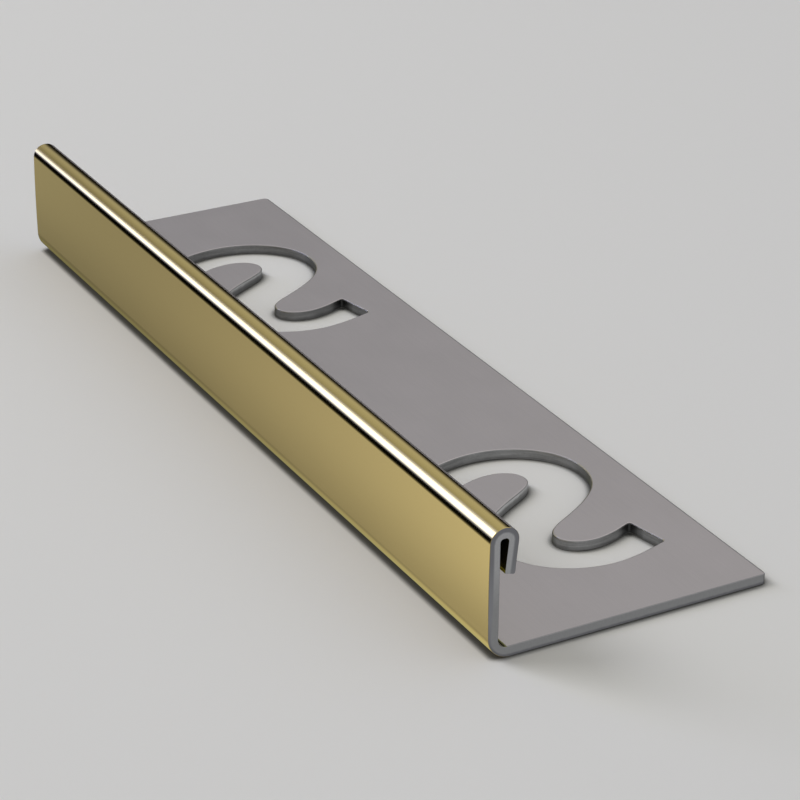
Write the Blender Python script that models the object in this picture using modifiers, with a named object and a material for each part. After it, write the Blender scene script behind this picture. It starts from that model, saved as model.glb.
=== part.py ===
"""Tile edge trim: one length of folded and punched sheet metal.

Metres, +Z up.  X runs along the trim, the decorative face looks toward -Y,
the flat anchoring leg reaches toward +Y and lies on z = 0.
The origin is the middle of the footprint, on the underside.
"""
import math

import bmesh
import bpy
from mathutils import Matrix, Vector

# ---------------------------------------------------------------- dimensions
LENGTH = 0.100            # cut length shown
HEIGHT = 0.0125           # tile height the trim is made for
LEG_WIDTH = 0.0286        # outer face to the free edge of the anchoring leg
SHEET = 0.0010            # sheet thickness
BEND_RADIUS = 0.0022      # outside radius between face and anchoring leg
BEND_INNER = 0.0009       # inside radius of the same bend
HEM_RADIUS = 0.00132      # outside radius of the folded-over top edge
HEM_FLAT = 0.00012        # short flat on top of the hem, between its two halves
RETURN_LENGTH = 0.0030    # straight part of the folded-back flange
RETURN_TILT = 6.0         # degrees that this flange leans back to the face
CORNER_RADIUS = 0.0005    # rounding of the leg's two free corners, in plan
BEND_STEPS = 12           # facets of the 90 degree bend
HEM_STEPS = 13            # facets of each half of the hem

SLOT_X = (0.02985, -0.0269)   # centres of the two wave slots along the trim
SLOT_FROM_FACE = 0.01735     # their distance from the decorative face
SLOT_STEPS = 9               # facets of each arc of a slot's edge
CUT_OVERRUN = 0.001          # how far a cutter stands out of the sheet

# Half of a wave slot's edge, from its centre, in millimetres:
# x, y, heading in, pull in, heading out, pull out (degrees, millimetres).
# The other half is the same, turned by 180 degrees about the centre.
SLOT_HALF_EDGE = (
    (6.50, 5.60, 0.0, 0.0, 0.0, 0.0),            # inner corner of the end
    (10.80, 6.55, 0.0, 0.0, -72.0, 2.0),         # outer corner of the end
    (12.11, 0.60, -90.0, 2.0, -90.0, 4.5),       # widest point of the limb
    (5.20, -7.60, 180.0, 3.80, 180.0, 3.6),      # bottom of the trough
    (-1.98, -2.42, 121.8, 3.4, 121.8, 2.7),      # crossing diagonal
    (-5.50, 1.76, 180.0, 1.5, 180.0, 1.27),      # tip of the tongue
    (-7.70, -1.25, -90.0, 1.7, -90.0, 1.7),      # side of the tongue
    (-6.50, -5.60, -70.0, 1.3, 0.0, 0.0),        # corner of the other end
)

FACE_Y = -LEG_WIDTH / 2.0    # plane of the decorative face


# ------------------------------------------------------------------ outlines
def arc(cx, cy, radius, start, end, steps):
    """Points of an arc, angles in degrees, both ends included."""
    points = []
    for i in range(steps + 1):
        a = math.radians(start + (end - start) * i / steps)
        points.append((cx + radius * math.cos(a), cy + radius * math.sin(a)))
    return points


def hem(cy, cz, radius):
    """The folded-over top edge: up to the short flat, and down behind it."""
    rise = arc(cy, cz, radius, 180.0, 90.0, HEM_STEPS)
    fall = arc(cy + HEM_FLAT, cz, radius, 90.0, -RETURN_TILT, HEM_STEPS)
    return rise + fall


def section_outline():
    """Closed cross-section (y, z) of the folded sheet, bends and hem."""
    y_bend = FACE_Y + BEND_RADIUS
    y_hem = FACE_Y + HEM_RADIUS
    z_hem = HEIGHT - HEM_RADIUS
    tilt = math.radians(RETURN_TILT)
    down = (-math.sin(tilt) * RETURN_LENGTH, -math.cos(tilt) * RETURN_LENGTH)

    outer = [(FACE_Y + LEG_WIDTH, 0.0)]
    outer += arc(y_bend, BEND_RADIUS, BEND_RADIUS, -90.0, -180.0, BEND_STEPS)
    outer += hem(y_hem, z_hem, HEM_RADIUS)
    outer.append((outer[-1][0] + down[0], outer[-1][1] + down[1]))

    inner = [(FACE_Y + LEG_WIDTH, SHEET)]
    inner += arc(FACE_Y + SHEET + BEND_INNER, SHEET + BEND_INNER, BEND_INNER,
                 -90.0, -180.0, BEND_STEPS)
    inner += hem(y_hem, z_hem, HEM_RADIUS - SHEET)
    inner.append((inner[-1][0] + down[0], inner[-1][1] + down[1]))
    return outer + inner[::-1]


def slot_outline():
    """Closed edge of one wave slot about its centre, in metres."""
    turned = [(-x, -y, hi + 180.0, pi, ho + 180.0, po)
              for x, y, hi, pi, ho, po in SLOT_HALF_EDGE]
    knots = list(SLOT_HALF_EDGE) + turned[1:]
    points = []
    for a, b in zip(knots[:-1], knots[1:]):
        p0, p3 = Vector(a[:2]), Vector(b[:2])
        if a[5] == 0.0 and b[3] == 0.0:          # straight end of the slot
            points.append(p0)
            continue
        out, into = math.radians(a[4]), math.radians(b[2])
        p1 = p0 + a[5] * Vector((math.cos(out), math.sin(out)))
        p2 = p3 - b[3] * Vector((math.cos(into), math.sin(into)))
        for i in range(SLOT_STEPS):
            t = i / SLOT_STEPS
            points.append((1 - t) ** 3 * p0 + 3 * (1 - t) ** 2 * t * p1
                          + 3 * (1 - t) * t * t * p2 + t ** 3 * p3)
    return [(p.x / 1000.0, p.y / 1000.0) for p in points]


# ------------------------------------------------------------------- helpers
def new_collection(name):
    collection = bpy.data.collections.new(name)
    bpy.context.scene.collection.children.link(collection)
    return collection


def extruded(name, outline, thickness, matrix, collection):
    """A flat outline with thickness, as a closed mesh object."""
    curve = bpy.data.curves.new(name + "_outline", "CURVE")
    curve.dimensions = "2D"
    curve.fill_mode = "BOTH"
    curve.extrude = thickness / 2.0
    spline = curve.splines.new("POLY")
    spline.points.add(len(outline) - 1)
    for point, (u, v) in zip(spline.points, outline):
        point.co = (u, v, 0.0, 1.0)
    spline.use_cyclic_u = True
    source = bpy.data.objects.new(name + "_outline", curve)
    source.matrix_world = matrix
    collection.objects.link(source)
    bpy.context.view_layer.update()

    graph = bpy.context.evaluated_depsgraph_get()
    mesh = bpy.data.meshes.new_from_object(source.evaluated_get(graph))
    mesh.name = name
    bm = bmesh.new()
    bm.from_mesh(mesh)
    bmesh.ops.remove_doubles(bm, verts=bm.verts, dist=1e-6)
    bmesh.ops.recalc_face_normals(bm, faces=bm.faces)
    bm.to_mesh(mesh)
    bm.free()
    piece = bpy.data.objects.new(name, mesh)
    piece.matrix_world = source.matrix_world.copy()
    collection.objects.link(piece)
    bpy.data.objects.remove(source)
    bpy.data.curves.remove(curve)
    return piece


def apply_place(piece):
    """Put an object's place into its mesh."""
    piece.data.transform(piece.matrix_world)
    piece.matrix_world = Matrix.Identity(4)


def metal(name, colour, roughness):
    material = bpy.data.materials.new(name)
    material.use_nodes = True
    shader = material.node_tree.nodes["Principled BSDF"]
    shader.inputs["Base Color"].default_value = (*colour, 1.0)
    shader.inputs["Metallic"].default_value = 1.0
    shader.inputs["Roughness"].default_value = roughness
    material.diffuse_color = (*colour, 1.0)
    return material


# --------------------------------------------------------------------- build
for old in list(bpy.data.objects):
    bpy.data.objects.remove(old, do_unlink=True)

trim = new_collection("tile_edge_trim")
cutters = new_collection("cutters")

# The outline's u, v, thickness become world y, z, x.
along_x = Matrix(((0, 0, 1, 0), (1, 0, 0, 0), (0, 1, 0, 0), (0, 0, 0, 1)))
profile = extruded("folded_edge_profile", section_outline(), LENGTH,
                   along_x, trim)
apply_place(profile)

# Free corners of the anchoring leg, lightly rounded in plan.
weights = profile.data.attributes.new("bevel_weight_edge", "FLOAT", "EDGE")
free_y = FACE_Y + LEG_WIDTH
for edge in profile.data.edges:
    a, b = (profile.data.vertices[i].co for i in edge.vertices)
    upright = abs(a.x - b.x) < 1e-6 and abs(a.y - b.y) < 1e-6
    if upright and abs(a.y - free_y) < 1e-6 and abs(a.z - b.z) > SHEET / 2:
        weights.data[edge.index].value = 1.0
rounding = profile.modifiers.new("free_corners", "BEVEL")
rounding.limit_method = "WEIGHT"
rounding.width = CORNER_RADIUS
rounding.segments = 4

# Two wave slots punched through the anchoring leg.
for index, centre in enumerate(SLOT_X, start=1):
    place = Matrix.Translation((centre, FACE_Y + SLOT_FROM_FACE, SHEET / 2.0))
    punch = extruded("wave_slot_%d_cutter" % index, slot_outline(),
                     SHEET + 2.0 * CUT_OVERRUN, place, cutters)
    apply_place(punch)
    punch.hide_render = True
    punch.display_type = "WIRE"
    cut = profile.modifiers.new("wave_slot_%d" % index, "BOOLEAN")
    cut.operation = "DIFFERENCE"
    cut.solver = "EXACT"
    cut.object = punch

profile.data.shade_smooth()
profile.data.set_sharp_from_angle(angle=math.radians(35.0))
profile.data.materials.append(
    metal("champagne_gold_steel", (0.46, 0.36, 0.15), 0.22))
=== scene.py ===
import math

import bmesh
import bpy
from mathutils import Matrix, Vector, geometry
from mathutils.kdtree import KDTree


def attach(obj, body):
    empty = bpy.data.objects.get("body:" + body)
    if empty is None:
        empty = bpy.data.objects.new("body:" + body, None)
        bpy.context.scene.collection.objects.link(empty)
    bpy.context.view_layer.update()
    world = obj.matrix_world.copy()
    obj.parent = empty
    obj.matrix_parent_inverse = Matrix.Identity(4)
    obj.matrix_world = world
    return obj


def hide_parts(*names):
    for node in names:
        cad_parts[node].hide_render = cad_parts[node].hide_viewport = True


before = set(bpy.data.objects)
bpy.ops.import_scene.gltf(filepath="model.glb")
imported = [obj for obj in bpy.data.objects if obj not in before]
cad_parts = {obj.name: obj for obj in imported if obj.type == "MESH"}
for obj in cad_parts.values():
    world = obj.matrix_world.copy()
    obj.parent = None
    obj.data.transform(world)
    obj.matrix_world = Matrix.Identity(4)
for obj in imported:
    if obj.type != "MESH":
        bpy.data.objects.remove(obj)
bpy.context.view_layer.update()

# ---------------------------------------------------------------------------
# Sizes of the trim, in metres
# ---------------------------------------------------------------------------
MM = 0.001
LENGTH = 100.0 * MM
HEIGHT = 12.5 * MM
LEG_WIDTH = 28.6 * MM
SHEET = 1.0 * MM
BEND_RADIUS = 2.2 * MM
BEND_INNER = 0.9 * MM
HEM_RADIUS = 1.32 * MM
HEM_FLAT = 0.17 * MM                      # between the hem's two halves
HEM_CROWN = 35.0                          # degrees each side of the top
RETURN_LENGTH = 3.0 * MM
RETURN_TILT = 6.0
CORNER_RADIUS = 0.5 * MM
SLOT_X = (29.85 * MM, -26.9 * MM)
SLOT_FROM_FACE = 17.35 * MM
FACE_Y = -LEG_WIDTH / 2.0
FREE_Y = LEG_WIDTH / 2.0
HALF = LENGTH / 2.0
LEG_START_Y = FACE_Y + 2.6 * MM           # from here on the leg is flat
BARE_FROM_Y = FACE_Y + 2.02 * MM          # the gold stops behind the bend
FACE_BOW = 1.25                           # degrees that the face bulges
SLOT_Y = FACE_Y + SLOT_FROM_FACE

BEND_STEPS = 40
FACE_STEPS = 10
HEM_STEPS = 44
SLOT_STEPS = 34
EDGE_STEPS = 5
END_WRAP = 3                              # steps of it that are not cut steel
COLUMNS = 40

# Edge roundings, as (on the one face, on the other face)
END_OUTER = (0.12 * MM, 0.07 * MM)        # cut end, outer side of the sheet
END_INNER = (0.07 * MM, 0.06 * MM)        # cut end, inner side of the sheet
FREE_TOP = (0.20 * MM, 0.14 * MM)
FREE_BOTTOM = (0.07 * MM, 0.07 * MM)
RIM_TOP = (0.18 * MM, 0.15 * MM)          # roll-over where the punch goes in
RIM_BOTTOM = (0.07 * MM, 0.08 * MM)
TIP_OUTER = 0.16 * MM
TIP_INNER = 0.09 * MM

SLOT_HALF_EDGE = (
    (6.50, 5.60, 0.0, 0.0, 0.0, 0.0),
    (10.80, 6.55, 0.0, 0.0, -72.0, 2.0),
    (12.11, 0.60, -90.0, 2.0, -90.0, 4.5),
    (5.20, -7.60, 180.0, 3.80, 180.0, 3.6),
    (-1.98, -2.42, 121.8, 3.4, 121.8, 2.7),
    (-5.50, 1.76, 180.0, 1.5, 180.0, 1.27),
    (-7.70, -1.25, -90.0, 1.7, -90.0, 1.7),
    (-6.50, -5.60, -70.0, 1.3, 0.0, 0.0),
)

GOLD, BARE, CUT = 0, 1, 2


# ---------------------------------------------------------------------------
# Outlines
# ---------------------------------------------------------------------------
def arc(cx, cy, radius, start, end, steps, side=1.0):
    """Points of an arc with the direction that looks out of the metal."""
    points = []
    for i in range(steps + 1):
        a = math.radians(start + (end - start) * i / steps)
        u, v = math.cos(a), math.sin(a)
        points.append((cx + radius * u, cy + radius * v, side * u, side * v))
    return points


def line(a, b, normal, steps):
    """Points between a and b, without either end."""
    return [(a[0] + (b[0] - a[0]) * i / steps,
             a[1] + (b[1] - a[1]) * i / steps, *normal)
            for i in range(1, steps)]


def section_outline():
    """The folded sheet from the leg's underside round to the leg's top.

    The face is a very flat arc: its middle stands about 0.05 mm proud of the
    lines where the bend and the hem begin, as on any folded face. Each point
    has its outward direction and the two sizes of the rounding at the cut
    ends of the trim.
    """
    bow = math.radians(FACE_BOW)
    foot, crown = BEND_RADIUS, HEIGHT - HEM_RADIUS
    low = foot - BEND_RADIUS * math.sin(bow)
    high = crown + HEM_RADIUS * math.sin(bow)
    face_radius = (high - low) / (2.0 * math.sin(bow))
    inset = face_radius * (1.0 - math.cos(bow))
    y_bend = FACE_Y + inset + BEND_RADIUS * math.cos(bow)
    y_hem = FACE_Y + inset + HEM_RADIUS * math.cos(bow)
    y_in = FACE_Y + inset + SHEET + BEND_INNER
    tilt = math.radians(RETURN_TILT)
    down = Vector((-math.sin(tilt), -math.cos(tilt)))
    out = Vector((math.cos(tilt), -math.sin(tilt)))
    slit = HEM_RADIUS - SHEET
    # the short flat on top is drawn as a slightly wider arc over the hem
    crest = math.radians(HEM_CROWN)
    wide = HEM_RADIUS + HEM_FLAT / (2.0 * math.sin(crest))
    crown -= HEM_FLAT / 2.0 * math.tan(crest / 2.0)
    z_wide = crown - (wide - HEM_RADIUS) * math.cos(crest)
    hem = Vector((y_hem + HEM_FLAT, crown))

    outer = [(LEG_START_Y, 0.0, 0.0, -1.0)]
    outer += arc(y_bend, foot, BEND_RADIUS, -90.0, -180.0 + FACE_BOW,
                 BEND_STEPS)
    outer += arc(FACE_Y + face_radius, (low + high) / 2.0, face_radius,
                 180.0 + FACE_BOW, 180.0 - FACE_BOW, FACE_STEPS)[1:]
    outer += arc(y_hem, crown, HEM_RADIUS, 180.0 - FACE_BOW,
                 90.0 + HEM_CROWN, HEM_STEPS // 2)[1:]
    outer += arc(y_hem + HEM_FLAT / 2.0, z_wide, wide, 90.0 + HEM_CROWN,
                 90.0 - HEM_CROWN, HEM_STEPS)[1:]
    outer += arc(hem.x, crown, HEM_RADIUS, 90.0 - HEM_CROWN, -RETURN_TILT,
                 HEM_STEPS // 2)[1:]

    # the tip of the flange is cut a little askew and has two small roundings
    corner_out = hem + out * HEM_RADIUS + down * (RETURN_LENGTH + 0.16 * MM)
    corner_in = hem + out * slit + down * (RETURN_LENGTH + 0.02 * MM)
    across = (corner_in - corner_out).normalized()
    tip_normal = Vector((-across.y, across.x))
    if tip_normal.dot(down) < 0.0:
        tip_normal = -tip_normal

    def corner(point, radius, n_in, n_out, steps=8):
        turn = n_in.angle_signed(n_out)
        reach = radius * math.tan(abs(turn) / 2.0)
        t_in = Vector((n_in.y, -n_in.x))
        if t_in.dot(n_out) < 0.0:
            t_in = -t_in
        centre = point - t_in * reach - n_in * radius
        a0 = math.degrees(math.atan2(n_in.y, n_in.x))
        return arc(centre.x, centre.y, radius, a0,
                   a0 - math.degrees(turn), steps)

    first = corner(corner_out, TIP_OUTER, out, tip_normal)
    second = corner(corner_in, TIP_INNER, tip_normal, -out)
    outer += line(outer[-1], first[0], tuple(out), 12)
    tip = first + line(first[-1], second[0], tuple(tip_normal), 3) + second

    inner = arc(hem.x, crown, slit, -RETURN_TILT, 90.0, 19, -1.0)
    inner += arc(y_hem, crown, slit, 90.0, 180.0, 17, -1.0)
    inner = line(second[-1], inner[0], tuple(-out), 8) + inner
    bend = arc(y_in, SHEET + BEND_INNER, BEND_INNER, -180.0, -90.0, 24, -1.0)
    inner += line(inner[-1], bend[0], (1.0, 0.0), 12) + bend
    inner.append((LEG_START_Y, SHEET, 0.0, 1.0))

    chain = []
    for p in outer:
        t = 1.0
        if p[0] > y_hem and p[1] < crown and p[1] > 5.0 * MM:
            t = min(1.0, max(0.0, (p[1] - first[0][1]) / (0.9 * MM)))
        chain.append((*p, *(b + (a - b) * t
                            for a, b in zip(END_OUTER, END_INNER))))
    chain += [(*p, *END_INNER) for p in tip + inner]
    return chain


def round_corner(points, index, reach, steps=8):
    """Replaces a sharp corner of a closed outline with a small curve."""
    n = len(points)

    def walk(step):
        left, i = reach, index
        while True:
            a, b = Vector(points[i % n]), Vector(points[(i + step) % n])
            d = (b - a).length
            if d >= left:
                return a.lerp(b, left / d), (i + step) % n
            left -= d
            i += step
    back, i_back = walk(-1)
    ahead, i_ahead = walk(1)
    corner = Vector(points[index])
    curve = []
    for k in range(steps + 1):
        t = k / steps
        curve.append(tuple((1 - t) ** 2 * back + 2 * (1 - t) * t * corner
                           + t * t * ahead))
    kept = []
    i = i_ahead
    while True:
        kept.append(points[i])
        if i == i_back:
            break
        i = (i + 1) % n
    return curve + kept


def slot_outline():
    """One wave slot about its own middle, with directions into the hole."""
    turned = [(-x, -y, hi + 180.0, pi, ho + 180.0, po)
              for x, y, hi, pi, ho, po in SLOT_HALF_EDGE]
    knots = list(SLOT_HALF_EDGE) + turned[1:]
    points = []
    for a, b in zip(knots[:-1], knots[1:]):
        p0, p3 = Vector(a[:2]), Vector(b[:2])
        if a[5] == 0.0 and b[3] == 0.0:
            points += [p0.lerp(p3, i / 12) for i in range(12)]
            continue
        out, into = math.radians(a[4]), math.radians(b[2])
        p1 = p0 + a[5] * Vector((math.cos(out), math.sin(out)))
        p2 = p3 - b[3] * Vector((math.cos(into), math.sin(into)))
        for i in range(SLOT_STEPS):
            t = i / SLOT_STEPS
            points.append((1 - t) ** 3 * p0 + 3 * (1 - t) ** 2 * t * p1
                          + 3 * (1 - t) * t * t * p2 + t ** 3 * p3)
    points = [(p.x * MM, p.y * MM) for p in points]
    (xa, ya), (xb, yb) = (knot[:2] for knot in SLOT_HALF_EDGE[:2])
    for x, y in ((xa, ya), (xb, yb), (-xa, -ya), (-xb, -yb)):
        index = min(range(len(points)), key=lambda i: math.dist(
            points[i], (x * MM, y * MM)))
        points = round_corner(points, index, 0.32 * MM)
    clean = []
    for p in points:
        if not clean or math.dist(p, clean[-1]) > 0.02 * MM:
            clean.append(p)
    if math.dist(clean[0], clean[-1]) < 0.02 * MM:
        clean.pop()
    n = len(clean)
    area = sum(clean[i][0] * clean[(i + 1) % n][1]
               - clean[(i + 1) % n][0] * clean[i][1] for i in range(n))
    side = 1.0 if area > 0.0 else -1.0
    result = []
    for i, p in enumerate(clean):
        a, b = Vector(clean[i - 1]), Vector(clean[(i + 1) % n])
        q = Vector(p)
        # each neighbour counts by how near it is
        t = ((q - a).normalized() * (b - q).length
             + (b - q).normalized() * (q - a).length).normalized()
        result.append((*p, -t.y * side, t.x * side))
    return result


# ---------------------------------------------------------------------------
# Mesh building
# ---------------------------------------------------------------------------
def link(obj):
    bpy.context.scene.collection.objects.link(obj)
    return obj


class Skin:
    """Collects points with their exact surface directions, and faces."""

    def __init__(self):
        self.points = []
        self.normals = []
        self.faces = []
        self.kinds = []

    def point(self, co, normal):
        self.points.append(Vector(co))
        self.normals.append(Vector(normal).normalized())
        return len(self.points) - 1

    def strip(self, a, b, kind, closed=False):
        """Quads between two rows of points; kind is a value or a test."""
        n = len(a)
        for i in range(n if closed else n - 1):
            j = (i + 1) % n
            face = (a[i], a[j], b[j], b[i])
            self.faces.append(face)
            self.kinds.append(kind(face) if callable(kind) else kind)

    def fill(self, loops, to_2d, kind, seeds=()):
        """Fills a flat region; the first loop is outside, others are holes."""
        ids = [i for loop in loops for i in loop]
        flat = [to_2d(self.points[i]) for i in ids]
        edges, start, outlines = [], 0, []
        for loop in loops:
            n = len(loop)
            edges += [(start + k, start + (k + 1) % n) for k in range(n)]
            outlines.append([flat[start + k] for k in range(n)])
            start += n
        pool = list(flat)
        for uv, index in seeds:
            pool.append(uv)
            ids.append(index)
        scale = 1.0 / MM
        verts, _, faces, origin, _, _ = geometry.delaunay_2d_cdt(
            [Vector((u * scale, v * scale)) for u, v in pool], edges, [], 0,
            1e-7)
        for face in faces:
            c = sum((Vector(verts[i]) for i in face), Vector((0, 0))) / 3.0
            c = (c.x * MM, c.y * MM)
            if not inside(c, outlines[0]):
                continue
            if any(inside(c, hole) for hole in outlines[1:]):
                continue
            self.faces.append(tuple(ids[origin[i][0]] for i in face))
            self.kinds.append(kind)

    def mesh(self, name):
        bm = bmesh.new()
        made = [bm.verts.new(p) for p in self.points]
        for face, kind in zip(self.faces, self.kinds):
            if len(set(face)) < 3:
                continue
            f = bm.faces.new([made[i] for i in face])
            f.material_index = kind
        bmesh.ops.remove_doubles(bm, verts=bm.verts, dist=0.0003 * MM)
        loose = [v for v in bm.verts if not v.link_faces]
        bmesh.ops.delete(bm, geom=loose, context="VERTS")
        bmesh.ops.recalc_face_normals(bm, faces=bm.faces)
        for f in bm.faces:
            f.smooth = True
        mesh = bpy.data.meshes.new(name)
        bm.to_mesh(mesh)
        bm.free()
        tree = KDTree(len(self.points))
        for i, p in enumerate(self.points):
            tree.insert(p, i)
        tree.balance()
        mesh.normals_split_custom_set_from_vertices(
            [tuple(self.normals[tree.find(v.co)[1]]) for v in mesh.vertices])
        return mesh


def inside(p, outline):
    x, y = p
    result = False
    n = len(outline)
    for i in range(n):
        ax, ay = outline[i]
        bx, by = outline[(i + 1) % n]
        if (ay > y) != (by > y) and x < ax + (y - ay) * (bx - ax) / (by - ay):
            result = not result
    return result


def quarter():
    """Sine and cosine from the one face (0) to the other (90 degrees)."""
    return [(math.sin(math.pi / 2 * k / EDGE_STEPS),
             math.cos(math.pi / 2 * k / EDGE_STEPS))
            for k in range(EDGE_STEPS + 1)]


def build_folded_part(skin):
    """Bend, face, hem and flange: a sweep along X with rounded cut ends."""
    chain = section_outline()
    reach = HALF - 0.6 * MM
    stations = [-reach + 2.0 * reach * i / COLUMNS
                for i in range(COLUMNS + 1)]
    rows, kinds = [], []
    for y, z, ny, nz, _, depth in chain:
        xs = [-HALF + depth] + stations + [HALF - depth]
        rows.append([skin.point((x, y, z), (0.0, ny, nz)) for x in xs])
    for i in range(len(rows) - 1):
        y = (chain[i][0] + chain[i + 1][0]) / 2.0
        nz = chain[i][3] + chain[i + 1][3]
        bare = ((y > BARE_FROM_Y and nz > 1.0)
                or (y > FACE_Y + BEND_RADIUS and nz < -1.0))
        kinds.append(BARE if bare else GOLD)
        skin.strip(rows[i], rows[i + 1], kinds[-1])

    for side in (-1.0, 1.0):
        rings = []
        for s, c in quarter():
            rings.append([skin.point(
                (side * (HALF - depth * (1.0 - c)),
                 y - ny * width * (1.0 - s), z - nz * width * (1.0 - s)),
                (side * c / depth, ny * s / width, nz * s / width))
                for y, z, ny, nz, width, depth in chain])
        for k, (a, b) in enumerate(zip(rings[:-1], rings[1:])):
            for i, kind in enumerate(kinds):
                skin.strip(a[i:i + 2], b[i:i + 2],
                           kind if k >= END_WRAP else CUT)
        skin.fill([rings[0]], lambda p: (p.y, p.z), CUT)
    return stations


def leg_edge():
    """Plan of the leg's three free sides: point, direction, roundings."""
    end = (END_INNER[1], END_INNER[0], END_OUTER[1], END_OUTER[0])
    free = (*FREE_TOP, *FREE_BOTTOM)
    path = []
    r = CORNER_RADIUS
    steps = 14
    for i in range(steps):
        y = LEG_START_Y + (FREE_Y - r - LEG_START_Y) * i / steps
        path.append((HALF, y, 1.0, 0.0, *end))
    for i in range(13):
        a = math.radians(90.0 * i / 12)
        t = (1.0 - math.cos(math.pi * i / 12)) / 2.0
        sizes = [p + (q - p) * t for p, q in zip(end, free)]
        path.append((HALF - r + r * math.cos(a), FREE_Y - r + r * math.sin(a),
                     math.cos(a), math.sin(a), *sizes))
    half = [(-x, y, -nx, ny, *sizes) for x, y, nx, ny, *sizes in path[::-1]]
    reach = HALF - r
    middle = [(reach - 2.0 * reach * i / COLUMNS, FREE_Y, 0.0, 1.0, *free)
              for i in range(1, COLUMNS)]
    return path + middle + half


def edge_rings(skin, path, closed, steepest):
    """Top rounding, wall and bottom rounding round an outline of the leg.

    Where the rounding is steeper than the stated limit it is a cut surface.

    The path has the point, its direction out of the metal, and four sizes:
    top rounding in plan and in height, bottom rounding in plan and height.
    """
    top, bottom = [], []
    for s, c in quarter():
        top.append([skin.point(
            (x - nx * a * (1.0 - s), y - ny * a * (1.0 - s),
             SHEET - b * (1.0 - c)), (nx * s / a, ny * s / a, c / b))
            for x, y, nx, ny, a, b, _, _ in path])
        bottom.append([skin.point(
            (x - nx * a * (1.0 - s), y - ny * a * (1.0 - s),
             b * (1.0 - c)), (nx * s / a, ny * s / a, -c / b))
            for x, y, nx, ny, _, _, a, b in path])

    def kind(face):
        total = sum(abs(skin.normals[i].z) for i in face) / len(face)
        return BARE if total > steepest else CUT

    for rings in (top, bottom):
        for a, b in zip(rings[:-1], rings[1:]):
            skin.strip(a, b, kind, closed)
    skin.strip(top[-1], bottom[-1], CUT, closed)
    return top[0], bottom[0]


def build_leg(skin, stations):
    top, bottom = edge_rings(skin, leg_edge(), False, 0.90)
    holes_top, holes_bottom = [], []
    outline = slot_outline()
    for centre in SLOT_X:
        path = [(x + centre, y + SLOT_Y, nx, ny, *RIM_TOP, *RIM_BOTTOM)
                for x, y, nx, ny in outline]
        a, b = edge_rings(skin, path, True, 0.84)
        holes_top.append(a)
        holes_bottom.append(b)

    for loop, holes, z, up in ((top, holes_top, SHEET, 1.0),
                               (bottom, holes_bottom, 0.0, -1.0)):
        fold = [skin.point((x, LEG_START_Y, z), (0, 0, up)) for x in stations]
        edge = loop + fold
        rims = [skin.points[i] for i in edge]
        for hole in holes:
            rims += [skin.points[i] for i in hole]
        tree = KDTree(len(rims))
        for i, p in enumerate(rims):
            tree.insert(p, i)
        tree.balance()
        seeds = []
        pitch = 1.5 * MM
        outlines = [[(skin.points[i].x, skin.points[i].y) for i in hole]
                    for hole in holes]
        row, y = 0, LEG_START_Y + 0.8 * MM
        while y < FREE_Y - 0.4 * MM:
            x = -HALF + pitch * (0.5 if row % 2 else 1.0)
            while x < HALF - 0.4 * MM:
                near_rim = tree.find((x, y, z))[2] < 0.55 * MM
                if not near_rim and not any(inside((x, y), o)
                                            for o in outlines):
                    seeds.append(((x, y), skin.point((x, y, z),
                                                     (0, 0, up))))
                x += pitch
            y += pitch * 0.866
            row += 1
        skin.fill([edge] + holes, lambda p: (p.x, p.y), BARE, seeds)


def build_sheet():
    skin = Skin()
    stations = build_folded_part(skin)
    build_leg(skin, stations)
    return link(bpy.data.objects.new("edge_profile_sheet",
                                     skin.mesh("edge_profile_sheet")))


# ---------------------------------------------------------------------------
# Materials
# ---------------------------------------------------------------------------
class Nodes:
    """Small helper to write node trees in a readable way."""

    def __init__(self, tree):
        self.tree = tree

    def add(self, kind, **props):
        node = self.tree.nodes.new(kind)
        inputs = props.pop("inputs", {})
        for key, value in props.items():
            setattr(node, key, value)
        for key, value in inputs.items():
            if isinstance(value, bpy.types.NodeSocket):
                self.tree.links.new(value, node.inputs[key])
            else:
                node.inputs[key].default_value = value
        return node

    def math(self, operation, a, b=0.0, clamp=False):
        return self.add("ShaderNodeMath", operation=operation,
                        use_clamp=clamp, inputs={0: a, 1: b}).outputs[0]

    def ramp(self, value, stops, interpolation="LINEAR"):
        """A colour ramp; levels above 1 are scaled down and up again."""
        stops = [(pos, (level,) * 3 if isinstance(level, (int, float))
                  else level) for pos, level in stops]
        peak = max(1.0, max(max(level) for _, level in stops))
        node = self.add("ShaderNodeValToRGB", inputs={"Fac": value})
        ramp = node.color_ramp
        ramp.interpolation = interpolation
        while len(ramp.elements) < len(stops):
            ramp.elements.new(0.5)
        for element, (pos, level) in zip(ramp.elements, stops):
            element.position = pos
            element.color = (*(v / peak for v in level), 1.0)
        if peak == 1.0:
            return node.outputs["Color"]
        return self.add("ShaderNodeVectorMath", operation="SCALE", inputs={
            0: node.outputs["Color"], "Scale": peak}).outputs[0]

    def range(self, value, lo, hi, to_lo, to_hi):
        return self.add("ShaderNodeMapRange", inputs={
            "Value": value, "From Min": lo, "From Max": hi,
            "To Min": to_lo, "To Max": to_hi}).outputs[0]

    def mix(self, fac, a, b):
        node = self.add("ShaderNodeMix", data_type="RGBA")
        for key, value in ((0, fac), (6, a), (7, b)):
            if isinstance(value, bpy.types.NodeSocket):
                self.tree.links.new(value, node.inputs[key])
            else:
                if key and len(value) == 3:
                    value = (*value, 1.0)
                node.inputs[key].default_value = value
        return node.outputs[2]

    def noise(self, position, scale, stretch=(1, 1, 1), detail=3.0,
              roughness=0.5, distortion=0.0):
        mapping = self.add("ShaderNodeMapping", inputs={
            "Vector": position, "Scale": stretch})
        return self.add("ShaderNodeTexNoise", inputs={
            "Vector": mapping.outputs[0], "Scale": scale, "Detail": detail,
            "Roughness": roughness, "Distortion": distortion}).outputs["Fac"]


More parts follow.
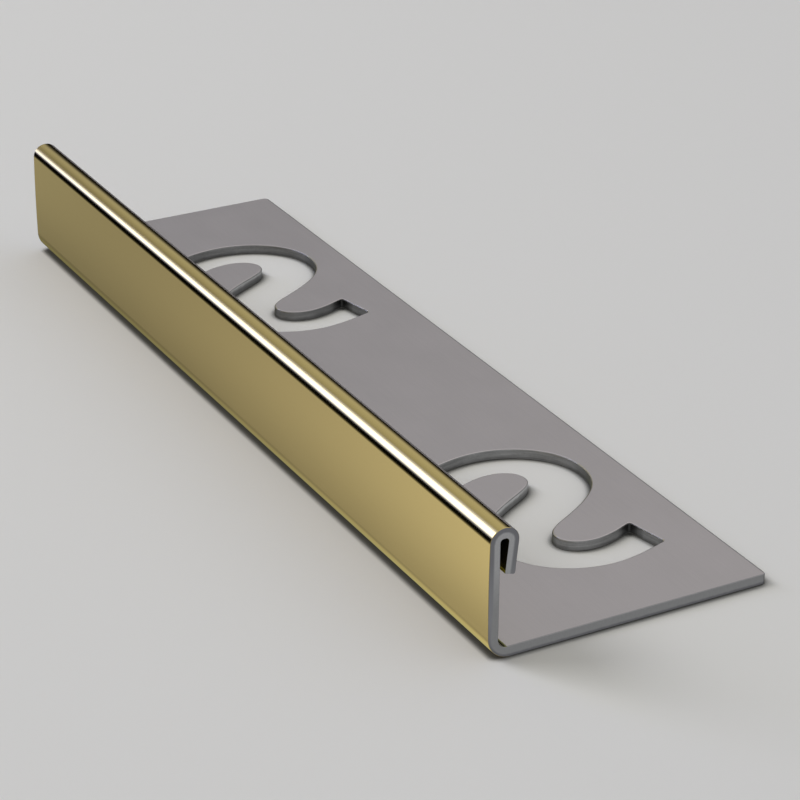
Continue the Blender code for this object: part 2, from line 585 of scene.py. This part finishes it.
def material(name):
    mat = bpy.data.materials.new(name)
    mat.use_nodes = True
    n = Nodes(mat.node_tree)
    shader = mat.node_tree.nodes["Principled BSDF"]
    position = n.add("ShaderNodeTexCoord").outputs["Object"]
    return mat, n, shader, position


def gold_finish():
    """Champagne gold on stainless steel: polished, with a faint grain."""
    mat, n, shader, pos = material("champagne_gold_finish")
    links = mat.node_tree.links
    grain = n.noise(pos, 1.0, (70.0, 12000.0, 12000.0), detail=4.0)
    cloud = n.noise(pos, 160.0, (0.4, 1.0, 1.0), detail=3.0)
    wave = n.noise(pos, 60.0, (0.5, 1.0, 1.0), detail=1.0)
    tint = n.math("ADD", n.math("MULTIPLY", grain, 0.5),
                  n.math("MULTIPLY", cloud, 0.5))
    colour = n.mix(n.range(tint, 0.35, 0.65, 0.0, 1.0),
                   (0.785, 0.604, 0.222), (0.815, 0.629, 0.235))
    # painted shade: inside the fold of the hem the gold is painted nearly
    # black, and it is rougher there
    xyz = n.add("ShaderNodeSeparateXYZ", inputs={"Vector": pos})
    inside = n.math("MULTIPLY", n.math(
        "MULTIPLY",
        n.range(xyz.outputs["Y"], FACE_Y + 0.95 * MM, FACE_Y + 1.0 * MM, 0, 1),
        n.range(xyz.outputs["Y"], FACE_Y + 1.95 * MM, FACE_Y + 1.85 * MM,
                0, 1)), n.math(
        "MULTIPLY",
        n.range(xyz.outputs["Z"], 8.22 * MM, 8.56 * MM, 0, 1),
        n.range(xyz.outputs["Z"], 11.9 * MM, 11.7 * MM, 0, 1)))
    colour = n.mix(inside, colour, (0.052, 0.046, 0.012))
    # painted shade, darker and olive, at the mouth of the slit and in the
    # inner corner of the bend
    behind = n.range(xyz.outputs["Y"], FACE_Y + 0.95 * MM,
                     FACE_Y + 1.0 * MM, 0, 1)
    slit_mouth_shade = n.math("MULTIPLY", n.math(
        "MULTIPLY",
        n.range(xyz.outputs["Z"], 7.9 * MM, 8.1 * MM, 0, 1),
        n.range(xyz.outputs["Z"], 8.9 * MM, 8.5 * MM, 0, 1)), n.math(
        "MULTIPLY", behind,
        n.range(xyz.outputs["Y"], FACE_Y + 1.75 * MM, FACE_Y + 1.6 * MM,
                0, 1)))
    colour = n.mix(n.math("MULTIPLY", slit_mouth_shade, n.math("SUBTRACT", 1.0, inside)),
                   colour, (0.500, 0.560, 0.110))
    # painted shade in the inner corner of the bend
    corner = n.math("MULTIPLY", n.range(
        xyz.outputs["Z"], 2.6 * MM, 1.6 * MM, 0, 1), n.range(
        xyz.outputs["Z"], 0.6 * MM, 0.7 * MM, 0, 1))
    colour = n.mix(n.math("MULTIPLY", behind, corner), colour,
                   (0.265, 0.250, 0.085))
    links.new(colour, shader.inputs["Base Color"])
    shader.inputs["Metallic"].default_value = 1.0
    rough = n.math("ADD", n.range(grain, 0.3, 0.7, -0.012, 0.012),
                   n.range(cloud, 0.35, 0.65, 0.105, 0.130))
    rough = n.math("ADD", rough, n.math("MULTIPLY", inside, 0.45))
    links.new(rough, shader.inputs["Roughness"])
    fine = n.add("ShaderNodeBump", inputs={
        "Strength": 0.06, "Distance": 0.00001, "Height": grain})
    broad = n.add("ShaderNodeBump", inputs={
        "Strength": 0.10, "Distance": 0.00005, "Height": wave,
        "Normal": fine.outputs[0]})
    links.new(broad.outputs[0], shader.inputs["Normal"])
    return mat


def bare_steel():
    """Mill-finish stainless steel of the anchoring leg: even, matt grey."""
    mat, n, shader, pos = material("mill_finish_steel")
    links = mat.node_tree.links
    grain = n.noise(pos, 1.0, (200.0, 7000.0, 7000.0), detail=4.0)
    cloud = n.noise(pos, 220.0, (0.7, 1.0, 1.0), detail=4.0)
    speck = n.noise(pos, 7000.0, detail=2.0)
    tint = n.math("ADD", n.math("MULTIPLY", grain, 0.55),
                  n.math("MULTIPLY", cloud, 0.45))
    colour = n.mix(n.range(tint, 0.35, 0.65, 0.0, 1.0),
                   (0.702, 0.654, 0.647), (0.735, 0.685, 0.678))
    # painted shade along the sheared edges, which are slightly rolled over
    xyz = n.add("ShaderNodeSeparateXYZ", inputs={"Vector": pos})
    edge_shade = n.math("MAXIMUM",
                 n.range(xyz.outputs["Y"], FREE_Y - 0.27 * MM,
                         FREE_Y - 0.12 * MM, 0.0, 1.0),
                 n.range(n.math("ABSOLUTE", xyz.outputs["X"]),
                         HALF - 0.15 * MM, HALF - 0.05 * MM, 0.0, 1.0))
    colour = n.mix(edge_shade, colour, (0.430, 0.405, 0.405))
    # painted reflection tint: the rolled-over rims of the slots that turn to
    # -Y are painted warmer, to warm the cool highlight they catch
    turned = n.add("ShaderNodeSeparateXYZ", inputs={
        "Vector": n.add("ShaderNodeNewGeometry").outputs["Normal"]})
    lean = n.math("MULTIPLY",
                  n.range(turned.outputs["Y"], -0.12, -0.25, 0.0, 1.0),
                  n.range(turned.outputs["X"], 0.08, 0.0, 0.0, 1.0))
    colour = n.mix(lean, colour, (0.620, 0.560, 0.400))
    links.new(colour, shader.inputs["Base Color"])
    shader.inputs["Metallic"].default_value = 1.0
    rough = n.math("ADD", n.range(speck, 0.3, 0.7, -0.03, 0.03),
                   n.range(cloud, 0.35, 0.65, 0.40, 0.43))
    links.new(rough, shader.inputs["Roughness"])
    relief = n.math("ADD", n.math("MULTIPLY", grain, 0.4),
                    n.math("MULTIPLY", speck, 0.6))
    bump = n.add("ShaderNodeBump", inputs={
        "Strength": 0.22, "Distance": 0.00001, "Height": relief})
    links.new(bump.outputs[0], shader.inputs["Normal"])
    return mat


def cut_steel():
    """Cut and punched edges: burnished in the upper part, torn below.

    At the cut ends of the trim the outer part of the sheet's thickness is
    painted darker than the inner part, and both parts are painted lighter and
    darker by height: painted shade and light on the flat ends.
    """
    mat, n, shader, pos = material("cut_steel_edge")
    links = mat.node_tree.links
    xyz = n.add("ShaderNodeSeparateXYZ", inputs={"Vector": pos})
    torn_noise = n.noise(pos, 5200.0, (1.0, 1.0, 0.6), detail=5.0,
                         roughness=0.65)
    lines = n.noise(pos, 1.0, (11000.0, 11000.0, 500.0), detail=3.0)
    wander = n.noise(pos, 1500.0, (1.0, 1.0, 0.0), detail=2.0)
    at_end = n.range(n.math("ABSOLUTE", xyz.outputs["X"]),
                     49.80 * MM, 49.86 * MM, 0.0, 1.0)

    turned = n.add("ShaderNodeSeparateXYZ", inputs={
        "Vector": n.add("ShaderNodeNewGeometry").outputs["Normal"]})

    # the boundary of the torn zone wanders a little along the edge
    height = n.math("ADD", xyz.outputs["Z"],
                    n.range(wander, 0.3, 0.7, -0.05 * MM, 0.05 * MM))
    torn = n.range(height, 0.12 * MM, 0.40 * MM, 1.0, 0.0)
    torn = n.math("MULTIPLY", torn, n.math("SUBTRACT", 1.0, at_end))
    wall = n.mix(n.range(torn_noise, 0.35, 0.65, 0.0, 1.0),
                 (0.368, 0.369, 0.367), (0.433, 0.434, 0.432))
    wall = n.mix(n.math("MULTIPLY", torn, 0.66), wall,
                 (0.190, 0.191, 0.190))
    # drawn marks of the punch along the walls, and painted shade: a little
    # less light in the slot that is farther from the near end
    drawn = n.noise(pos, 1.0, (420.0, 420.0, 6500.0), detail=3.0)
    punch_marks_and_shade = n.math("MULTIPLY", n.range(drawn, 0.32, 0.68, 0.84, 1.14),
                   n.range(xyz.outputs["X"], -12.0 * MM, 12.0 * MM,
                           0.78, 1.0))
    # painted light and shade: walls turned to -Y a little brighter, those
    # turned to +Y a little darker
    lit = n.math("MULTIPLY",
                 n.range(turned.outputs["X"], 0.05, 0.35, 0.0, 0.18),
                 n.range(turned.outputs["Y"], -0.15, -0.40, 0.0, 1.0))
    punch_marks_and_shade = n.math("MULTIPLY", n.math("MULTIPLY", punch_marks_and_shade, n.math(
        "ADD", 1.0, lit)), n.range(turned.outputs["Y"], 0.0, 0.15, 1.0, 0.86))

    # painted shade: walls turned to -X are painted darker
    smooth = n.range(turned.outputs["X"], -0.30, 0.20, 0.50, 1.0)
    # and a painted highlight along the top of the tongue's side
    sunny = n.math("MULTIPLY",
                   n.range(turned.outputs["X"], 0.35, 0.55, 0.0, 1.0),
                   n.range(turned.outputs["Y"], 0.42, 0.49, 0.0, 1.0))
    tongue_highlight = n.math("MULTIPLY", sunny,
                  n.range(height, 0.50 * MM, 0.78 * MM, 0.0, 1.6))
    smooth = n.math("MULTIPLY", smooth, n.math("ADD", tongue_highlight, 1.0))
    # painted shade: cut faces turned to +Y near the ends of the trim are
    # painted near black
    corner = n.math("MULTIPLY",
                    n.range(turned.outputs["Y"], 0.25, 0.60, 0.0, 1.0),
                    n.range(n.math("ABSOLUTE", xyz.outputs["X"]),
                            49.2 * MM, 49.5 * MM, 0.0, 0.75))

    # painted shade in the two narrow notches of each slot: distances to them
    # in millimetres; the second is the first turned by 180 degrees about the
    # slot's middle
    middle = n.range(xyz.outputs["X"], 1.0 * MM, 2.0 * MM, SLOT_X[1],
                     SLOT_X[0])
    sx = n.math("MULTIPLY", n.math("SUBTRACT", xyz.outputs["X"], middle),
                1000.0)
    sy = n.math("MULTIPLY", n.math("SUBTRACT", xyz.outputs["Y"], SLOT_Y),
                1000.0)
    fold = n.math("SIGN", sy)

    # depth below the outer side of the sheet, in millimetres
    dy = n.math("MULTIPLY", n.math("SUBTRACT", xyz.outputs["Y"], FACE_Y),
                1000.0)
    dz = n.math("MULTIPLY", xyz.outputs["Z"], 1000.0)

    def length(a, b):
        return n.math("SQRT", n.math("ADD", n.math("MULTIPLY", a, a),
                                     n.math("MULTIPLY", b, b)))

    def choose(where, a, b):
        return n.math("ADD", n.math("MULTIPLY", where, a), n.math(
            "MULTIPLY", n.math("SUBTRACT", 1.0, where), b))

    notch_shade = length(n.math("SUBTRACT", n.math("MULTIPLY", sx, fold), 6.70),
                   n.math("SUBTRACT", n.math("MULTIPLY", sy, fold), 5.45))
    notch_shade = n.math("ADD", notch_shade, n.range(wander, 0.3, 0.7, -0.15, 0.15))
    notch_shade = n.range(notch_shade, 0.55, 1.75, 0.28, 1.0)
    wall = n.add("ShaderNodeVectorMath", operation="SCALE", inputs={
        0: wall, "Scale": n.math("MULTIPLY", punch_marks_and_shade, n.math(
            "MULTIPLY", smooth, notch_shade))}).outputs[0]
    foot = 2.2
    lower = n.math("SUBTRACT", foot, length(
        n.math("MAXIMUM", n.math("SUBTRACT", foot, dy), 0.0),
        n.math("MAXIMUM", n.math("SUBTRACT", foot, dz), 0.0)))
    fore, rear = 1.369, 1.369 + HEM_FLAT / MM
    ry = n.math("SUBTRACT", dy, rear)
    hy = n.math("ADD", n.math("MINIMUM", n.math("SUBTRACT", dy, fore), 0.0),
                n.math("MAXIMUM", ry, 0.0))
    hz = n.math("SUBTRACT", dz, 11.18)
    over = n.math("SUBTRACT", 1.32, length(hy, hz))
    tilt = math.radians(RETURN_TILT)
    back = n.math("SUBTRACT", 1.32, n.math(
        "SUBTRACT", n.math("MULTIPLY", ry, math.cos(tilt)),
        n.math("MULTIPLY", hz, math.sin(tilt))))
    on_flange = n.math("MULTIPLY", n.math("GREATER_THAN", dy, 1.2),
                       n.math("GREATER_THAN", dz, 7.5))
    depth = choose(on_flange, back, lower)
    depth = choose(n.math("GREATER_THAN", dz, 11.18), over, depth)
    limit = n.range(dz, 1.5, 5.0, 0.24, 0.46)
    limit = n.math("ADD", limit, n.range(wander, 0.3, 0.7, -0.03, 0.03))
    outer = n.range(n.math("SUBTRACT", depth, limit), -0.08, 0.08, 1.0, 0.0)
    # painted light and shade on the cut ends: levels by height for the outer
    # and the inner part of the thickness
    end_light_outer = n.ramp(n.math("DIVIDE", dz, 12.5), [
        (0.06, 0.57), (0.16, 0.80), (0.30, 0.97), (0.55, 0.90), (0.76, 0.74),
        (1.0, 0.72)])
    end_light_inner = n.ramp(n.math("DIVIDE", dz, 12.5), [
        (0.10, 1.0), (0.40, 1.02), (0.70, 1.38), (1.0, 1.42)])
    level = choose(outer, end_light_outer, end_light_inner)
    face = n.mix(n.range(torn_noise, 0.35, 0.65, 0.0, 1.0),
                 (0.425, 0.429, 0.434), (0.474, 0.478, 0.484))
    face = n.mix(n.math("MULTIPLY", outer, 0.6), face,
                 (0.436, 0.441, 0.482))
    scaled = n.add("ShaderNodeVectorMath", operation="SCALE",
                   inputs={0: face, "Scale": level}).outputs[0]
    colour = n.mix(at_end, wall, scaled)
    colour = n.mix(corner, colour, (0.060, 0.060, 0.060))
    # painted reflection tint: the rolled-over rims that turn to -Y are painted
    # warmer, to warm the cool highlight they catch
    warmed_highlight_rims = n.math("MULTIPLY", n.math(
        "MULTIPLY",
        n.range(turned.outputs["Z"], 0.15, 0.40, 0.0, 1.0),
        n.range(turned.outputs["X"], 0.15, 0.0, 0.0, 1.0)),
        n.range(turned.outputs["Y"], -0.12, -0.30, 0.0, 1.0))
    colour = n.mix(warmed_highlight_rims, colour, (0.270, 0.254, 0.175))

    # narrow inner corners take less light
    shade = n.add("ShaderNodeAmbientOcclusion", samples=8, only_local=True,
                  inputs={"Distance": 2.5 * MM}).outputs["AO"]
    shade = n.range(shade, 0.30, 0.85, 0.12, 1.0)
    colour = n.add("ShaderNodeVectorMath", operation="SCALE",
                   inputs={0: colour, "Scale": shade}).outputs[0]
    links.new(colour, shader.inputs["Base Color"])
    shader.inputs["Metallic"].default_value = 1.0
    rough = n.math("ADD", n.range(torn_noise, 0.3, 0.7, 0.44, 0.54),
                   n.math("MULTIPLY", torn, 0.14))
    links.new(rough, shader.inputs["Roughness"])
    relief = n.math("ADD", n.math("MULTIPLY", lines, 0.4),
                    n.math("MULTIPLY", torn_noise,
                           n.math("ADD", n.math("MULTIPLY", torn, 0.8), 0.25)))
    bump = n.add("ShaderNodeBump", inputs={
        "Strength": 0.40, "Distance": 0.00002, "Height": relief})
    links.new(bump.outputs[0], shader.inputs["Normal"])
    return mat


sheet = build_sheet()
for finish in (gold_finish(), bare_steel(), cut_steel()):
    sheet.data.materials.append(finish)
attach(sheet, "root")
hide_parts("folded_edge_profile")

# ---------------------------------------------------------------------------
# Floor: pale and matt, open when seen from below
# ---------------------------------------------------------------------------
bpy.ops.mesh.primitive_plane_add(size=4.0, location=(0, 0, -0.00002))
floor = bpy.context.object
floor.name = "floor"
floor_mat = bpy.data.materials.new("pale_floor")
floor_mat.use_nodes = True
f = Nodes(floor_mat.node_tree)
fs = floor_mat.node_tree.nodes["Principled BSDF"]
# the narrow shadow where the sheet lies on the floor
contact = f.add("ShaderNodeAmbientOcclusion", samples=8,
                inputs={"Distance": 0.9 * MM}).outputs["AO"]
floor_mat.node_tree.links.new(
    f.mix(f.range(contact, 0.52, 0.90, 0.0, 1.0), (0.10, 0.10, 0.095),
          (0.80, 0.79, 0.75)), fs.inputs["Base Color"])
fs.inputs["Roughness"].default_value = 0.95
fs.inputs["Specular IOR Level"].default_value = 0.05
from_below = f.add("ShaderNodeMixShader", inputs={
    0: f.add("ShaderNodeNewGeometry").outputs["Backfacing"],
    1: fs.outputs[0],
    2: f.add("ShaderNodeBsdfTransparent").outputs[0]})
floor_mat.node_tree.links.new(
    from_below.outputs[0],
    floor_mat.node_tree.nodes["Material Output"].inputs["Surface"])
floor.data.materials.append(floor_mat)
floor.visible_glossy = False
floor.visible_shadow = False

key_data = bpy.data.lights.new("soft_key", "AREA")
key_data.shape = "DISK"
key_data.size = 0.50
key_data.energy = 3.0
key = link(bpy.data.objects.new("soft_key", key_data))
key.location = (-0.45, -0.55, 0.75)
key.rotation_euler = Vector((-0.45, -0.55, 0.75)).to_track_quat(
    "Z", "Y").to_euler()
key.visible_glossy = False
key.visible_camera = False

# ---------------------------------------------------------------------------
# Studio surroundings, as a function of direction: a white tent, and on the
# -X side one long bright panel above a dark horizon
# ---------------------------------------------------------------------------
world = bpy.data.worlds.new("studio")
bpy.context.scene.world = world
world.use_nodes = True
w = Nodes(world.node_tree)
world.node_tree.nodes.clear()
direction = w.add("ShaderNodeTexCoord").outputs["Generated"]
d = w.add("ShaderNodeSeparateXYZ", inputs={"Vector": direction})
along = d.outputs["X"]
minus_y = w.math("MULTIPLY", d.outputs["Y"], -1.0)
angle = w.math("MULTIPLY", w.math("ARCTAN2", d.outputs["Z"], minus_y),
               180.0 / math.pi)


def profile(theta, stops, scale=1.0, extra=0.0):
    """A level along the angle theta: 0 is -Y, 90 is up, 180 is +Y."""
    turn = w.math("DIVIDE", w.math("ADD", theta, 180.0), 360.0 + extra)
    return w.ramp(turn, [((a + 180.0) / (360.0 + extra), v / scale)
                         for a, v in stops])


def times(a, b):
    return w.math("MULTIPLY", a, b)


def plus(a, b):
    return w.math("ADD", a, b)


# 0 where the near end of the trim looks, 1 where its far end looks
run = w.add("ShaderNodeMapRange", clamp=False, inputs={
    "Value": along, "From Min": -0.761, "From Max": -0.867,
    "To Min": 0.0, "To Max": 1.0}).outputs[0]
run = w.math("MINIMUM", w.math("MAXIMUM", run, -0.4), 1.35)

PANEL = 5.0
panel_low = profile(angle, [
    (-180, 0), (2, 0), (7, 0.017), (13, 0.078), (19, 0.215), (25, 0.36),
    (31, 0.60), (37, 1.0), (180, 1.0)])
lean = plus(times(run, 15.0), times(times(run, run), 9.0))
panel_high = profile(plus(angle, lean), [
    (-180, 1.0), (48, 1.0), (52, 0.70), (56, 0.38), (61, 0.17), (67, 0.085),
    (74, 0.03), (82, 0.0), (220, 0.0)], extra=60.0)
panel = times(panel_low, panel_high)

tent = profile(angle, [
    (-180, 0), (14, 0), (26, 0.25), (60, 0.26), (75, 0.32), (85, 0.39),
    (95, 0.43), (105, 0.465), (118, 0.485), (128, 0.50), (180, 0.50)])
tent = times(tent, w.math("SUBTRACT", 1.0, times(run, 0.125)))
behind = profile(plus(angle, times(times(run, run), 15.5)), [
    (-180, 1.0), (126, 1.0), (134.5, 0.94), (141.5, 0.715), (150, 0.355),
    (156, 0.145), (162.5, 0.04), (167.5, 0.02), (220, 0.02)], extra=60.0)
above = times(tent, behind)

ground = profile(plus(angle, times(run, 3.0)), [
    (-180, 0.008), (-150, 0.010), (-142, 0.05), (-136, 0.26), (-130, 0.38),
    (-120, 0.39), (-105, 0.41), (-95, 0.44), (-85, 0.48), (-75, 0.475),
    (-65, 0.35), (-57, 0.28), (-52, 0.31), (-49.5, 0.455), (-47, 0.565),
    (-44.5, 0.63), (-42.5, 0.62), (-40, 0.53), (-35, 0.33), (-30, 0.15),
    (-25, 0.045), (-21, 0.008), (-18, 0.0), (180, 0.0)])
fall = profile(angle, [
    (-180, 0.60), (-115, 0.60), (-95, 0.58), (-75, 0.59), (-66, 0.50),
    (-58, 0.40), (-55, 0.42), (-52, 0.52), (-47, 0.52), (-44, 0.44),
    (-40, 0.48), (-20, 0.49), (180, 0.49)])
fade = times(run, w.math("SUBTRACT", 1.5, times(run, 0.5)))
ground = times(ground, w.math("SUBTRACT", 1.0, times(fall, fade)))
# the far end of the trim sees the floor light up again, a little yellower
lift = w.ramp(w.math("DIVIDE", plus(run, 0.4), 1.75), [
    ((a + 0.4) / 1.75, v) for a, v in (
        (-0.4, (1.0, 1.0, 1.0)), (0.0, (1.0, 1.0, 1.0)),
        (0.37, (0.975, 0.975, 0.97)), (0.61, (0.95, 0.95, 0.93)),
        (0.80, (0.925, 0.93, 0.90)), (0.90, (0.965, 0.975, 0.93)),
        (1.0, (1.12, 1.13, 1.06)), (1.08, (1.30, 1.32, 1.22)),
        (1.35, (1.34, 1.36, 1.26)))])

rest = profile(angle, [
    (-180, 0.24), (-165, 0.30), (-148, 0.34), (-131, 0.42), (-100, 0.39),
    (-60, 0.33), (-30, 0.30), (-12, 0.22), (0, 0.20), (15, 0.28), (35, 0.36),
    (60, 0.44), (90, 0.50), (115, 0.60), (140, 0.60), (160, 0.34),
    (180, 0.24)])
share = w.add("ShaderNodeMapRange", interpolation_type="SMOOTHSTEP", inputs={
    "Value": along, "From Min": -0.60, "From Max": -0.68,
    "To Min": 0.0, "To Max": 1.0}).outputs[0]
# on the -X side the light from below is warmer, overhead a trace cooler
tints = w.ramp(w.math("DIVIDE", w.math("ADD", angle, 180.0), 360.0), [
    ((180 + a) / 360.0, tint) for a, tint in (
        (-180, (1.0, 0.97, 0.60)), (-120, (1.0, 0.96, 0.47)),
        (-95, (1.0, 0.97, 0.54)), (-85, (1.0, 0.98, 0.65)),
        (-75, (1.0, 0.985, 0.70)), (-65, (1.0, 0.99, 0.84)),
        (-55, (1.0, 1.0, 0.96)), (-48, (1.0, 1.0, 1.0)),
        (60, (1.0, 1.0, 1.0)), (75, (1.0, 1.03, 1.06)),
        (125, (1.0, 1.03, 1.06)), (145, (1.0, 1.0, 1.0)),
        (180, (1.0, 1.0, 1.0)))])
# the panel is white in its middle and cooler where it thins out
panel_tint = w.ramp(panel, [(0.0, (1.0, 1.20, 2.9)), (0.30, (1.0, 1.19, 2.5)),
                            (0.6, (1.0, 1.05, 1.3)), (1.0, (1.0, 1.0, 1.08))])


def scaled(colour, level):
    return w.add("ShaderNodeVectorMath", operation="SCALE", inputs={
        0: colour, "Scale": level}).outputs[0]


bright = w.add("ShaderNodeVectorMath", operation="ADD", inputs={
    0: scaled(panel_tint, times(panel, PANEL)),
    1: w.add("ShaderNodeVectorMath", operation="MULTIPLY", inputs={
        0: tints, 1: w.add("ShaderNodeVectorMath", operation="ADD", inputs={
            0: above, 1: scaled(lift, ground)}).outputs[0]}).outputs[0],
}).outputs[0]
studio = w.add("ShaderNodeBackground", inputs={
    "Color": w.mix(share, rest, bright), "Strength": 1.0})
backdrop = w.add("ShaderNodeBackground", inputs={
    "Color": (0.72, 0.72, 0.72, 1.0), "Strength": 1.0})
path = w.add("ShaderNodeLightPath")
mixed = w.add("ShaderNodeMixShader", inputs={
    0: path.outputs["Is Camera Ray"], 1: studio.outputs[0],
    2: backdrop.outputs[0]})
w.add("ShaderNodeOutputWorld", inputs={"Surface": mixed.outputs[0]})

# ---------------------------------------------------------------------------
# Camera
# ---------------------------------------------------------------------------
camera = bpy.data.objects.new("camera", bpy.data.cameras.new("camera"))
link(camera)
right = Vector((0.47882, 0.87788, 0.00692))
up = Vector((-0.38853, 0.20483, 0.89838))
back = right.cross(up).normalized()
up = back.cross(right).normalized()
right.normalize()
camera.matrix_world = Matrix((
    (right.x, up.x, back.x, 0.22430),
    (right.y, up.y, back.y, -0.10439 + FACE_Y),
    (right.z, up.z, back.z, 0.12376),
    (0, 0, 0, 1)))
camera.data.sensor_width = 36.0
camera.data.lens = 126.64
camera.data.clip_start = 0.01
camera.data.clip_end = 20.0
camera.data.dof.use_dof = False
bpy.context.scene.camera = camera
bpy.context.scene.view_settings.view_transform = "Standard"
